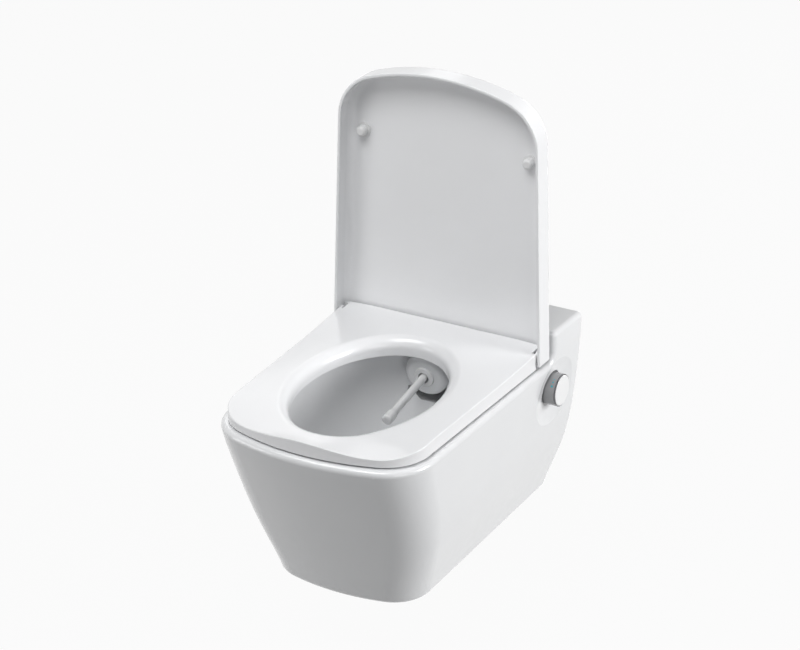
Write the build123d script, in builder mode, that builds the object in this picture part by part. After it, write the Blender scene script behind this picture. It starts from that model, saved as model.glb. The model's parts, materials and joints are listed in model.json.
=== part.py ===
from build123d import *
from math import cos, radians, sin
import os

# Wall hung bidet toilet. Sizes are in millimetres.
# The origin is on the wall face, midway between the two fixing bolts.
# +X points to the side with the flow knob, +Y into the wall and +Z up.

# Cuts run past what they cut by the margin, or well past it, and edges are picked within the tolerance
margin = 1.0
over = 50.0
tolerance = 0.01

# Heights above the bolts and main reach
rim_height = 95.0
block_rise = 47.8
block_depth = 87.6
block_foot_radius = 15.0
outer_edge_radius = 8.0
bottom_edge_radius = 12.0
wall = 10.0
rim_thickness = 12.0

# Plan outlines of the ceramic from the top down: drop below the rim, half width at the wall,
# how much each side narrows to the front corner, reach from the wall, corner radius and front bow
level_top = dict(drop=-block_rise, half=183.9, narrow=13.4, reach=544.0, corner=81.0, bow=36.6)
level_rim = dict(drop=0.0, half=183.5, narrow=13.4, reach=544.0, corner=81.0, bow=36.6)
level_upper = dict(drop=61.0, half=178.4, narrow=12.0, reach=522.0, corner=77.0, bow=34.6)
level_middle = dict(drop=143.0, half=167.3, narrow=9.8, reach=488.5, corner=71.0, bow=31.7)
level_lower = dict(drop=220.0, half=143.5, narrow=6.0, reach=460.0, corner=66.0, bow=27.0)
level_bottom = dict(drop=274.3, half=124.5, narrow=1.5, reach=441.0, corner=62.0, bow=25.0)

# Bowl: height, half width, front edge and rear edge of each ring
bowl_rings = [
    dict(z=rim_height, half=131.0, front=-505.0, rear=-140.0),
    dict(z=60.0, half=128.0, front=-500.0, rear=-143.0),
    dict(z=20.0, half=117.0, front=-483.0, rear=-148.0),
    dict(z=-30.0, half=92.0, front=-440.0, rear=-163.0),
    dict(z=-80.0, half=64.0, front=-375.0, rear=-190.0),
    dict(z=-130.0, half=40.0, front=-318.0, rear=-220.0),
    dict(z=-160.0, half=30.0, front=-300.0, rear=-232.0),
]
bowl_wall = 9.0
bowl_lip_radius = 6.0

# Trapway and outlet
trap_bore = 26.0
trap_wall = 8.0
trap_height = -137.0
trap_start = -262.0
trap_turn = -200.0
trap_crest = -112.0
trap_crest_height = -2.0
trap_bend_radius = 42.0
outlet_height = -100.0
outlet_turn = -50.0
outlet_radius = 51.0
outlet_bore = 43.0
outlet_length = 40.0
outlet_spigot = 30.0
outlet_root_radius = 50.0
outlet_seal_width = 8.0
outlet_seal_gap = 0.3
seal_clearance = 0.1
outlet_seal_thickness = 5.0

# Flush inlet and water way
inlet_height = 35.0
inlet_radius = 34.0
inlet_bore = 28.0
inlet_depth = 20.0
inlet_end_wall = 8.0
flush_pipe_radius = 22.5
inlet_seal_length = 16.0
duct_half_width = 78.0
duct_low = 3.0
duct_high = 48.0
duct_wall = 8.0
duct_front = -160.0
slot_position = 28.5
slot_width = 13.0
slot_low = 20.0
slot_high = 32.0
slot_reach = -185.0

# Wall fixing
bolt_spacing = 180.0
bolt_clear_radius = 6.25
sleeve_wall = 2.55
sleeve_clearance = 0.2
back_plate = 14.0
plate_half_width = 108.0
plate_low = -30.0
plate_high = 72.0
washer_radius = 15.0
washer_thickness = 3.0
nut_across_flats = 19.0
nut_height = 10.0
access_position = 84.0
access_width = 44.0
access_rear = -20.0
access_front = -90.0
sleeve_flange_radius = 14.0
sleeve_flange = 2.0

# Lid, stored upright and open
lid_half_width = 179.0
lid_narrow = 13.4
lid_height = 430.4
lid_corner_radius = 77.0
lid_bow = 38.7
lid_back = -94.6
lid_depth = 37.5
lid_base = rim_height + 9.0
lid_skirt = 4.5
lid_panel = 5.0
lid_outer_radius = 6.0
lid_inner_radius = 11.0
lid_lip_radius = 1.4
shut_gap = 7.0
shut_front = -540.0

# The hinge axis is the one centre that carries the lid from upright to flat over the seat
axis_z = (rim_height + shut_gap + lid_depth - lid_back + lid_base + lid_height + shut_front) / 2
axis_y = shut_front + lid_base + lid_height - axis_z

# Seat
lid_to_seat = 1.5
seat_rear = -103.0
seat_low = rim_height + 3.0
seat_skin = 5.5
seat_side = 7.0
seat_hole_half = 104.0
seat_hole_long = 153.0
seat_hole_centre = -333.7
seat_hole_roll = 17.0
seat_edge_radius = 1.5
seat_rear_corner = 8.0
seat_hollow_margin = 24.0
seat_sweep_clearance = 0.8
lid_sweep_clearance = 0.5

# Height of the seat's top above the rim, from the centre line outwards, at stations from the rear
seat_across = [0.0, 60.0, 120.0, 152.0, 190.0]
seat_stations = [
    dict(y=-90.0, rise=[33.0, 33.0, 33.0, 32.0, 30.0]),
    dict(y=-150.0, rise=[32.0, 32.0, 31.0, 29.0, 26.5]),
    dict(y=-213.0, rise=[31.0, 31.0, 29.0, 26.5, 23.5]),
    dict(y=-275.0, rise=[30.0, 29.5, 28.0, 25.5, 22.5]),
    dict(y=-330.0, rise=[29.0, 28.5, 27.0, 25.0, 22.5]),
    dict(y=-385.0, rise=[28.0, 27.5, 26.0, 24.5, 23.0]),
    dict(y=-440.0, rise=[26.0, 25.5, 24.5, 23.5, 23.0]),
    dict(y=-495.0, rise=[22.5, 21.0, 18.0, 17.5, 17.5]),
    dict(y=-548.0, rise=[28.0, 20.5, 12.0, 13.0, 14.0]),
]

# Seat and lid pads
seat_pad_places = [(150.0, -250.0), (115.0, -472.0)]
seat_pad_radius = 9.0
seat_pad_boss = 12.0
seat_pad_recess = 2.0
pad_gap = 0.3
lid_pad_x = 140.0
lid_pad_height = 321.0
lid_pad_disc_radius = 11.5
lid_pad_disc = 1.6
lid_pad_radius = 8.0
lid_pad_length = 13.8
lid_pad_round = 4.0

# Hinge hardware, one set each side
hinge_spacing = 155.0
hinge_block_width = 18.0
hinge_block_half = 6.5
hinge_base_radius = 14.0
hinge_base_height = 1.5
hinge_base_clearance = 1.5
hinge_block_clearance = 1.0
hinge_thread_depth = 8.0
shaft_radius = 4.0
running_clearance = 0.05
stud_radius = 3.0
stud_washer_hole = 3.3
stud_clear_radius = 5.0
stud_length = 34.0
stud_washer_radius = 11.0
stud_washer = 2.0
stud_nut_flats = 10.0
stud_nut_height = 8.0
rib_inner = 100.0
rib_width = 12.0
rib_outer = 140.0
rib_radius = 7.5
damper_radius = 6.0
damper_gap = 0.3
damper_swing_gap = 0.6
lug_inner = 167.5
lug_radius = 9.0
lug_wall = 0.5
shaft_end_gap = 0.5
seat_notch_overlap = 1.5
notch_clearance = 1.8
lid_damper_inner = 153.0

# Spray arm: the exit is the centre of the mouth on the boss face
spray_tilt = 10.1
exit_y = -166.0
exit_z = rim_height - 35.3
boss_radius = 36.0
boss_length = 40.0
boss_top_drop = 4.0
boss_edge_radius = 10.0
guide_bore = 11.0
guide_radius = 13.5
guide_clearance = 0.3
guide_collar_radius = 18.0
guide_collar_clearance = 1.0
guide_collar = 5.0
guide_front = 4.0
gasket_thickness = 2.0
mouth_radius = 9.0
mouth_flange_radius = 17.0
mouth_flange = 3.0
mouth_skirt = 10.0
mouth_clearance = 0.1
mouth_round = 2.0
piston_length = 8.0
piston_stop_gap = 0.3
piston_seal_width = 2.0
piston_seal_depth = 2.0
spray_travel = 118.0
end_chamber = 9.7
end_plug = 2.5
end_flange = 2.0
end_plug_clearance = 0.1
arm_radius = 6.3
arm_bore = 4.5
arm_reach = 121.0
head_length = 29.0
head_radius = 8.6
head_wall = 1.8
head_socket = 8.0
head_spigot = 5.4
head_flare = 14.0
head_dome = 4.0
nozzle_hole = 0.6
nozzle_pitch = 3.0
nozzle_setback = 8.0
spring_turns = 22
spring_wire = 0.5
spring_mean = 3.2
spring_anchor = 8.0
anchor_pin_radius = 0.6
pin_inset = 0.3
feed_port_radius = 4.5
feed_port_bore = 2.5
feed_port_end = 22.0

# Side controls: the flow knob is on +X and the temperature knob on -X
knob_y = -79.0
knob_z = rim_height - 50.0
pocket_floor = 168.0
pocket_radius = 28.5
pad_inner = 155.0
pad_radius = 40.0
dish_floor = 171.0
dish_radius = 260.0
dish_tilt = 7.0
neck_radius = 11.5
neck_clearance = 0.5
lock_nut_flats = 32.0
lock_nut = 4.0
valve_radius = 18.0
valve_inner = 105.0
valve_front_wall = 3.0
valve_gasket = 2.0
cartridge_radius = 13.8
cartridge_clearance = 0.2
cartridge_rear = 112.0
plug_depth = 6.0
plug_head = 6.0
plug_flats = 24.0
neck_bore_clearance = 0.3
spindle_radius = 4.0
spindle_inner = 128.0
spindle_end_gap = 0.3
knob_radius = 25.5
knob_face = 193.0
knob_root = 170.3
knob_wall = 3.0
knob_hub_radius = 8.0
knob_hub_inner = 175.0
knob_plate = 3.4
knob_ring = 2.0
knob_ring_width = 1.5
knob_cap = 3.4
knob_cap_clearance = 0.1
knob_cap_round = 1.0

# Water supply and hoses
port_radius = 7.0
port_length = 9.0
port_bore = 4.0
mixed_port_x = 129.0
outer_port_x = 139.0
inner_port_x = 119.0
supply_pin_radius = 8.3
supply_pin_length = 14.0
supply_hex = 20.0
supply_hex_length = 8.0
hot_z = -45.0
cold_z = -75.0
hose_radius = 5.5
hose_bore = 3.5
union_radius = 8.0
union_length = 10.0
cross_height = rim_height + 17.0
cross_y = -26.0
supply_bends = [36.0]
cross_bends = [15.5, 24.0, 24.0, 15.5]
feed_bends = [14.5, 19.5]

os.makedirs("parts", exist_ok=True)


def save(piece, name):
    piece.part.label = name
    export_step(piece.part, f"parts/{name}.step")


def outline(plane, half_rear, half_front, rear, front, corner, bow):
    # Plan with straight sides, a bowed front and two round front corners
    with BuildSketch(plane) as sketch:
        with BuildLine():
            left = (-half_front, front + bow)
            right = (half_front, front + bow)
            Polyline(left, (-half_rear, rear), (half_rear, rear), right)
            ThreePointArc(right, (0, front), left)
        make_face()
        fillet(sketch.vertices().group_by(Axis.Y)[0], radius=corner)
    return sketch.sketch


def body_outline(level, inset=0.0, rear=0.0, height=None):
    z = rim_height - level["drop"] if height is None else height
    half = level["half"] - inset
    front = -level["reach"] + inset
    plane = Plane.XY.offset(z)
    return outline(plane, half, half - level["narrow"], rear, front, level["corner"] - inset, level["bow"])


def ring(radius_out, radius_in, plane):
    with BuildSketch(plane) as sketch:
        Circle(radius_out)
        Circle(radius_in, mode=Mode.SUBTRACT)
    return sketch.sketch


def disc(radius, plane):
    with BuildSketch(plane) as sketch:
        Circle(radius)
    return sketch.sketch


def side_plane(x, side, y=0.0, z=0.0):
    # Plane whose normal points outwards on either side, at a distance from the centre line
    return Plane(origin=(side * x, y, z), x_dir=(0, side, 0), z_dir=(side, 0, 0))


def wall_plane(distance, x=0.0, z=0.0):
    # Plane parallel to the wall and at a distance from it, with its normal pointing into the room
    return Plane(origin=(x, -distance, z), x_dir=(1, 0, 0), z_dir=(0, -1, 0))


def hex_face(across_flats, plane):
    with BuildSketch(plane) as sketch:
        RegularPolygon(across_flats / 2, 6, major_radius=False)
    return sketch.sketch


tilt_cos = cos(radians(spray_tilt))
tilt_sin = sin(radians(spray_tilt))
spray_plane = Plane(origin=(0, exit_y, exit_z), x_dir=(1, 0, 0), z_dir=(0, -tilt_cos, -tilt_sin))
# Distances along the spray axis are positive outwards from the boss face
piston_front = -mouth_skirt - piston_stop_gap
piston_rear = piston_front - piston_length
chamber_rear = piston_rear - spray_travel - end_chamber
guide_rear = chamber_rear - end_plug
collar_front = -boss_length - gasket_thickness
head_rear = arm_reach - head_length
feed_port_s = chamber_rear + feed_port_radius


def along(distance):
    return spray_plane.offset(distance)


sides = (1, -1)
bottom_height = rim_height - level_bottom["drop"]
levels = [level_bottom, level_lower, level_middle, level_upper, level_rim, level_top]

# Outer form of the ceramic, and the hollow between its shell and the bowl
outer_faces = [body_outline(level) for level in levels]
inner_bottom = body_outline(level_bottom, wall, wall, bottom_height + wall)
inner_faces = [inner_bottom] + [body_outline(level, wall, wall) for level in levels[1:-1]]
inner_faces.append(body_outline(level_top, wall, wall, rim_height + block_rise - wall))
block_profile = Plane.YZ.offset(-level_rim["half"] - over)
through = 2 * (level_rim["half"] + over)

with BuildPart() as hollow:
    loft(inner_faces)
    with BuildSketch(block_profile):
        with Locations((-block_depth + wall, rim_height - rim_thickness)):
            Rectangle(level_rim["reach"], block_rise + over, align=(Align.MAX, Align.MIN))
    extrude(amount=through, mode=Mode.SUBTRACT)


def bowl_ring(spec, height, grow=0.0):
    with BuildSketch(Plane.XY.offset(height)) as sketch:
        with Locations((0, (spec["front"] + spec["rear"]) / 2)):
            Ellipse(spec["half"] + grow, (spec["rear"] - spec["front"]) / 2 + grow)
    return sketch.sketch


# The bowl's outside starts inside the rim's slab and ends one wall below the bowl's floor
outside_heights = [rim_height - rim_thickness / 2]
outside_heights += [spec["z"] for spec in bowl_rings[1:-1]]
outside_heights.append(bowl_rings[-1]["z"] - bowl_wall)
bowl_faces = [bowl_ring(spec, height, bowl_wall) for spec, height in zip(bowl_rings, outside_heights)]
bowl_inner_faces = [bowl_ring(spec, spec["z"]) for spec in bowl_rings]

trap_points = [
    (0, trap_start, trap_height),
    (0, trap_turn, trap_height),
    (0, trap_crest, trap_crest_height),
    (0, outlet_turn, outlet_height),
    (0, 0, outlet_height),
]


def pipe(points, radius, bends, bore=0.0):
    # A tube along straight runs joined by tangent arcs
    with BuildPart() as tube:
        with BuildLine() as route:
            FilletPolyline(*points, radius=bends)
        with BuildSketch(Plane(origin=route.line @ 0, z_dir=route.line % 0)):
            Circle(radius)
            if bore:
                Circle(bore, mode=Mode.SUBTRACT)
        sweep()
    return tube.part


sleeve_radius = bolt_clear_radius + sleeve_wall

with BuildPart() as boss:
    extrude(disc(boss_radius, spray_plane), amount=-boss_length)
    fillet(boss.edges().sort_by(Axis.Y)[0], radius=boss_edge_radius)
    with BuildSketch(Plane.XY.offset(rim_height - boss_top_drop)):
        with Locations((0, exit_y)):
            Rectangle(2 * (boss_radius + over), 2 * (boss_radius + over))
    extrude(amount=over, mode=Mode.SUBTRACT)

with BuildPart() as ceramic_body:
    loft(outer_faces)
    # Everything in front of the raised back is cut down to the rim, with a round inner corner at its foot
    with BuildSketch(block_profile):
        with BuildLine():
            foot_y = -block_depth - block_foot_radius
            foot_z = rim_height + block_foot_radius
            Line((-level_rim["reach"] - over, rim_height), (foot_y, rim_height))
            RadiusArc((foot_y, rim_height), (-block_depth, foot_z), -block_foot_radius)
            Polyline(
                (-block_depth, foot_z),
                (-block_depth, rim_height + block_rise + over),
                (-level_rim["reach"] - over, rim_height + block_rise + over),
                (-level_rim["reach"] - over, rim_height),
            )
        make_face()
    extrude(amount=through, mode=Mode.SUBTRACT)
    # The rim's edge is rounded all round, up over the raised back, and so is the underside's edge
    block_top = rim_height + block_rise
    above_rim = ceramic_body.edges().filter_by_position(Axis.Z, rim_height - margin, block_top + margin)
    above_rim = above_rim.filter_by_position(Axis.Y, -level_rim["reach"] - margin, -margin)
    crossing = above_rim.filter_by(GeomType.LINE)
    crossing = crossing.filter_by_position(Axis.Z, rim_height - margin, block_top - margin)
    fillet([edge for edge in above_rim if edge not in crossing], radius=outer_edge_radius)
    low_edges = ceramic_body.edges()
    low_edges = low_edges.filter_by_position(Axis.Z, bottom_height - margin, bottom_height + margin)
    fillet(low_edges.filter_by_position(Axis.Y, -level_rim["reach"], -margin), radius=bottom_edge_radius)
    add(hollow.part, mode=Mode.SUBTRACT)

    # Bowl, trapway and outlet walls
    loft(bowl_faces)
    add(pipe(trap_points, trap_bore + trap_wall, trap_bend_radius))
    extrude(disc(outlet_radius, wall_plane(0, 0, outlet_height)), amount=outlet_spigot)
    outlet_root = disc(outlet_root_radius, wall_plane(outlet_spigot, 0, outlet_height))
    extrude(outlet_root, amount=outlet_length - outlet_spigot)

    # Back plate that takes the bolts, and the flush inlet with its water way round the spray boss
    with BuildSketch(wall_plane(0)):
        with Locations((0, (plate_low + plate_high) / 2)):
            Rectangle(2 * plate_half_width, plate_high - plate_low)
    extrude(amount=back_plate)
    extrude(disc(inlet_radius, wall_plane(0, 0, inlet_height)), amount=inlet_depth + inlet_end_wall)
    with BuildSketch(wall_plane(inlet_depth)):
        with Locations((0, (duct_low + duct_high) / 2)):
            Rectangle(2 * duct_half_width, duct_high - duct_low)
    extrude(amount=-duct_front - inlet_depth)

    # Thick pads behind the two knobs
    for side in sides:
        pad = disc(pad_radius, side_plane(pad_inner, side, knob_y, knob_z))
        extrude(pad, amount=level_upper["half"] - wall / 2 - pad_inner)

    # Clear water spaces
    loft(bowl_inner_faces, mode=Mode.SUBTRACT)
    add(pipe(trap_points, trap_bore, trap_bend_radius), mode=Mode.SUBTRACT)
    extrude(disc(outlet_bore, wall_plane(0, 0, outlet_height)), amount=outlet_length, mode=Mode.SUBTRACT)
    with BuildSketch(wall_plane(inlet_depth - margin)):
        with Locations((0, (duct_low + duct_high) / 2)):
            Rectangle(2 * (duct_half_width - duct_wall), duct_high - duct_low - 2 * duct_wall)
    extrude(amount=-duct_front - inlet_depth - duct_wall, mode=Mode.SUBTRACT)
    extrude(disc(inlet_bore, wall_plane(0, 0, inlet_height)), amount=inlet_depth, mode=Mode.SUBTRACT)

    # Slots each side of the boss let the flush water into the bowl
    slot_start = duct_front + duct_wall + margin
    with BuildSketch(wall_plane(-slot_start)):
        with Locations((0, (slot_low + slot_high) / 2)):
            with GridLocations(2 * slot_position, 0, 2, 1):
                Rectangle(slot_width, slot_high - slot_low)
    extrude(amount=slot_start - slot_reach, mode=Mode.SUBTRACT)

    # The bowl's lip is rounded
    lip = ceramic_body.edges().filter_by_position(Axis.Z, rim_height - tolerance, rim_height + tolerance)
    lip = lip.filter_by_position(Axis.Y, bowl_rings[0]["front"] - margin, bowl_rings[0]["rear"] + margin)
    lip = lip.filter_by_position(Axis.X, -bowl_rings[0]["half"] - margin, bowl_rings[0]["half"] + margin)
    fillet(lip, radius=bowl_lip_radius)

    add(boss.part)
    guide_hole = disc(guide_radius + guide_clearance, along(guide_rear))
    extrude(guide_hole, amount=margin - guide_rear, mode=Mode.SUBTRACT)
    collar_pocket = disc(guide_collar_radius + guide_collar_clearance, along(-boss_length))
    pocket_depth = gasket_thickness + guide_collar + guide_collar_clearance
    extrude(collar_pocket, amount=-pocket_depth, mode=Mode.SUBTRACT)

    # Bolt holes in the back plate and stud holes for the hinges
    with BuildSketch(wall_plane(0)):
        with GridLocations(bolt_spacing, 0, 2, 1):
            Circle(sleeve_radius + sleeve_clearance)
    extrude(amount=back_plate, mode=Mode.SUBTRACT)
    with BuildSketch(Plane(origin=(0, axis_y, rim_height + margin))):
        with GridLocations(hinge_spacing, 0, 2, 1):
            Circle(stud_clear_radius)
    extrude(amount=-rim_thickness - 2 * margin, mode=Mode.SUBTRACT)

    # Two openings in the underside give a hand access to the wall nuts
    with BuildSketch(Plane.XY.offset(bottom_height)):
        with Locations((0, (access_rear + access_front) / 2)):
            with GridLocations(2 * access_position, 0, 2, 1):
                RectangleRounded(access_width, access_rear - access_front, bottom_edge_radius)
    extrude(amount=wall, mode=Mode.SUBTRACT)

    # A shallow dish and a round pocket for each knob, with a hole for the valve's neck
    for side in sides:
        dish_x = dish_floor + dish_radius * cos(radians(dish_tilt))
        with Locations((side * dish_x, knob_y, knob_z - dish_radius * sin(radians(dish_tilt)))):
            Sphere(dish_radius, mode=Mode.SUBTRACT)
        pocket = disc(pocket_radius, side_plane(pocket_floor, side, knob_y, knob_z))
        extrude(pocket, amount=over, mode=Mode.SUBTRACT)
        neck_hole = disc(neck_radius + neck_clearance, side_plane(pad_inner - margin, side, knob_y, knob_z))
        extrude(neck_hole, amount=over, mode=Mode.SUBTRACT)

save(ceramic_body, "ceramic_body")

# Seals on the flush pipe and the waste spigot
with BuildPart() as flush_inlet_seal:
    extrude(ring(inlet_bore - seal_clearance, flush_pipe_radius, wall_plane(0, 0, inlet_height)),
            amount=inlet_seal_length)
save(flush_inlet_seal, "flush_inlet_seal")

with BuildPart() as waste_outlet_seal:
    seal_plane = wall_plane(outlet_spigot + outlet_seal_gap, 0, outlet_height)
    extrude(ring(outlet_radius + outlet_seal_thickness, outlet_root_radius + seal_clearance, seal_plane),
            amount=outlet_seal_width)
save(waste_outlet_seal, "waste_outlet_seal")

# Wall fixing, from the ceramic outwards: flanged sleeve, washer and nut on each bolt
flange_y = back_plate + sleeve_flange
washer_y = flange_y + washer_thickness
bolt_xs = (bolt_spacing / 2, -bolt_spacing / 2)

with BuildPart() as wall_fixing_sleeves:
    for x in bolt_xs:
        extrude(ring(sleeve_radius, bolt_clear_radius, wall_plane(0, x)), amount=flange_y)
        flange = ring(sleeve_flange_radius, bolt_clear_radius, wall_plane(back_plate, x))
        extrude(flange, amount=sleeve_flange)
save(wall_fixing_sleeves, "wall_fixing_sleeves")

with BuildPart() as wall_fixing_washers:
    for x in bolt_xs:
        extrude(ring(washer_radius, bolt_clear_radius, wall_plane(flange_y, x)), amount=washer_thickness)
save(wall_fixing_washers, "wall_fixing_washers")

with BuildPart() as wall_fixing_nuts:
    for x in bolt_xs:
        extrude(hex_face(nut_across_flats, wall_plane(washer_y, x)), amount=nut_height)
        extrude(disc(bolt_clear_radius, wall_plane(washer_y, x)), amount=nut_height, mode=Mode.SUBTRACT)
save(wall_fixing_nuts, "wall_fixing_nuts")

# Hinge hardware: stud, washer and nut through the rim, and a block that holds the fixed shaft
hinge_xs = (hinge_spacing / 2, -hinge_spacing / 2)
stud_top = rim_height + hinge_base_height + hinge_thread_depth
slab_low = rim_height - rim_thickness
block_inner = (hinge_spacing - hinge_block_width) / 2
lug_outer = lid_half_width - lid_skirt
shaft_end = lug_outer - lug_wall - shaft_end_gap


def hinge_plane(x, z):
    return Plane(origin=(x, axis_y, z))


with BuildPart() as hinge_studs:
    for x in hinge_xs:
        extrude(disc(stud_radius, hinge_plane(x, stud_top)), amount=-stud_length)
save(hinge_studs, "hinge_studs")

with BuildPart() as hinge_washers:
    for x in hinge_xs:
        extrude(ring(stud_washer_radius, stud_washer_hole, hinge_plane(x, slab_low)), amount=-stud_washer)
save(hinge_washers, "hinge_washers")

with BuildPart() as hinge_nuts:
    for x in hinge_xs:
        nut_top = slab_low - stud_washer
        extrude(hex_face(stud_nut_flats, hinge_plane(x, nut_top)), amount=-stud_nut_height)
        extrude(disc(stud_radius, hinge_plane(x, nut_top)), amount=-stud_nut_height, mode=Mode.SUBTRACT)
save(hinge_nuts, "hinge_nuts")

with BuildPart() as hinge_blocks:
    for side in sides:
        extrude(disc(hinge_base_radius, hinge_plane(side * hinge_spacing / 2, rim_height)),
                amount=hinge_base_height)
        with BuildSketch(side_plane(block_inner, side, axis_y, axis_z)):
            Circle(hinge_block_half)
            Rectangle(2 * hinge_block_half, axis_z - rim_height, align=(Align.CENTER, Align.MAX))
        extrude(amount=hinge_block_width)
        extrude(disc(shaft_radius, side_plane(block_inner, side, axis_y, axis_z)), amount=hinge_block_width,
                mode=Mode.SUBTRACT)
        extrude(disc(stud_radius, hinge_plane(side * hinge_spacing / 2, rim_height)),
                amount=stud_top - rim_height, mode=Mode.SUBTRACT)
save(hinge_blocks, "hinge_blocks")

with BuildPart() as hinge_shafts:
    for side in sides:
        shaft = disc(shaft_radius, side_plane(block_inner, side, axis_y, axis_z))
        extrude(shaft, amount=shaft_end - block_inner)
save(hinge_shafts, "hinge_shafts")

# Lid: a shallow tray that stands upright when open, with its open side towards the room
lid_plane = Plane(origin=(0, lid_back, lid_base), x_dir=(1, 0, 0), z_dir=(0, 1, 0))


def lid_outline(plane, inset=0.0, base=0.0):
    half = lid_half_width - inset
    corner = lid_corner_radius - inset
    return outline(plane, half, half - lid_narrow, base, -lid_height + inset, corner, lid_bow)


with BuildPart() as lid:
    extrude(lid_outline(lid_plane), amount=-lid_depth)
    back_edges = lid.faces().sort_by(Axis.Y)[-1].edges()
    fillet([edge for edge in back_edges if edge.center().Z > lid_base + margin], radius=lid_outer_radius)
    tray = lid_outline(lid_plane.offset(-lid_panel), lid_skirt, margin)
    extrude(tray, amount=-lid_depth, mode=Mode.SUBTRACT)
    tray_y = lid_back - lid_panel
    inner_edges = lid.edges().filter_by_position(Axis.Y, tray_y - tolerance, tray_y + tolerance)
    fillet([edge for edge in inner_edges if edge.center().Z > lid_base + margin], radius=lid_inner_radius)
    lip_edges = lid.faces().sort_by(Axis.Y)[0].edges()
    fillet([edge for edge in lip_edges if edge.center().Z > lid_base + margin], radius=lid_lip_radius)
    for side in sides:
        lug = disc(lug_radius, side_plane(lug_inner, side, axis_y, axis_z))
        extrude(lug, amount=lug_outer - lug_inner + margin)
        extrude(disc(shaft_radius + running_clearance, side_plane(lug_inner, side, axis_y, axis_z)),
                amount=lug_outer - lug_inner - lug_wall, mode=Mode.SUBTRACT)
save(lid, "lid")

with BuildPart() as lid_bumpers:
    for side in sides:
        pad_plane = Plane(origin=(side * lid_pad_x, lid_back - lid_panel, rim_height + lid_pad_height),
                          x_dir=(1, 0, 0), z_dir=(0, -1, 0))
        extrude(disc(lid_pad_disc_radius, pad_plane), amount=lid_pad_disc)
        extrude(disc(lid_pad_radius, pad_plane), amount=lid_pad_length)
    ends = lid_bumpers.edges().group_by(Axis.Y)[0]
    fillet(ends, radius=lid_pad_round)
save(lid_bumpers, "lid_bumpers")


def sleeve(inner, outer, radius_out, radius_in):
    # A tube along the hinge axis on each side
    with BuildPart() as tubes:
        for side in sides:
            wall_face = ring(radius_out, radius_in, side_plane(inner, side, axis_y, axis_z))
            extrude(wall_face, amount=outer - inner)
    return tubes


lid_dampers = sleeve(lid_damper_inner, lug_inner - damper_gap, damper_radius,
                     shaft_radius + running_clearance)
save(lid_dampers, "lid_dampers")
seat_dampers = sleeve(rib_inner + rib_width + damper_gap, rib_outer - damper_gap, damper_radius,
                      shaft_radius + running_clearance)
save(seat_dampers, "seat_dampers")

# Seat: a waved ring with a rolled hole, hollow underneath, that fits inside the closed lid
seat_half = lid_half_width - lid_skirt - lid_to_seat
seat_front = shut_front + lid_skirt + lid_to_seat
seat_corner = lid_corner_radius - lid_skirt - lid_to_seat
seat_base_plane = Plane.XY.offset(seat_low)
seat_under_plane = Plane.XY.offset(seat_low - margin)
ceiling = rim_height + over
seat_stock = ceiling - seat_low - margin


def seat_outline(plane, inset=0.0):
    half = seat_half - inset
    rear = seat_rear - inset
    front = seat_front + inset
    return outline(plane, half, half - lid_narrow, rear, front, seat_corner - inset, lid_bow)


def seat_hole_outline(plane, grow=0.0):
    with BuildSketch(plane) as sketch:
        with Locations((0, seat_hole_centre)):
            Ellipse(seat_hole_half + grow, seat_hole_long + grow)
    return sketch.sketch


def above_seat(drop):
    # The space above the waved top, or above a surface that lies lower by the drop
    sections = []
    for station in seat_stations:
        heights = [rim_height + rise - drop for rise in station["rise"]]
        right = list(zip(seat_across, heights))
        left = [(-x, height) for x, height in reversed(right[1:])]
        with BuildSketch(Plane.XZ.offset(-station["y"])) as section:
            with BuildLine():
                Spline(*left, *right)
                Polyline(right[-1], (seat_across[-1], ceiling), (-seat_across[-1], ceiling), left[0])
            make_face()
        sections.append(section.sketch)
    with BuildPart() as space:
        loft(sections)
    return space.part


with BuildPart() as seat_hollow:
    extrude(seat_outline(seat_under_plane, seat_side), amount=seat_stock)
    add(above_seat(seat_skin), mode=Mode.SUBTRACT)
    extrude(seat_hole_outline(seat_under_plane, seat_hollow_margin), amount=over, mode=Mode.SUBTRACT)
    with BuildSketch(seat_under_plane):
        with Locations(*[(side * x, y) for x, y in seat_pad_places for side in sides]):
            Circle(seat_pad_boss)
    extrude(amount=over, mode=Mode.SUBTRACT)
    for side in sides:
        for rib_x in (rib_inner, rib_outer):
            with BuildSketch(side_plane(rib_x, side, axis_y, axis_z)):
                Circle(rib_radius)
                Rectangle(2 * rib_radius, over, align=(Align.CENTER, Align.MIN))
            extrude(amount=rib_width, mode=Mode.SUBTRACT)

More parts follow.
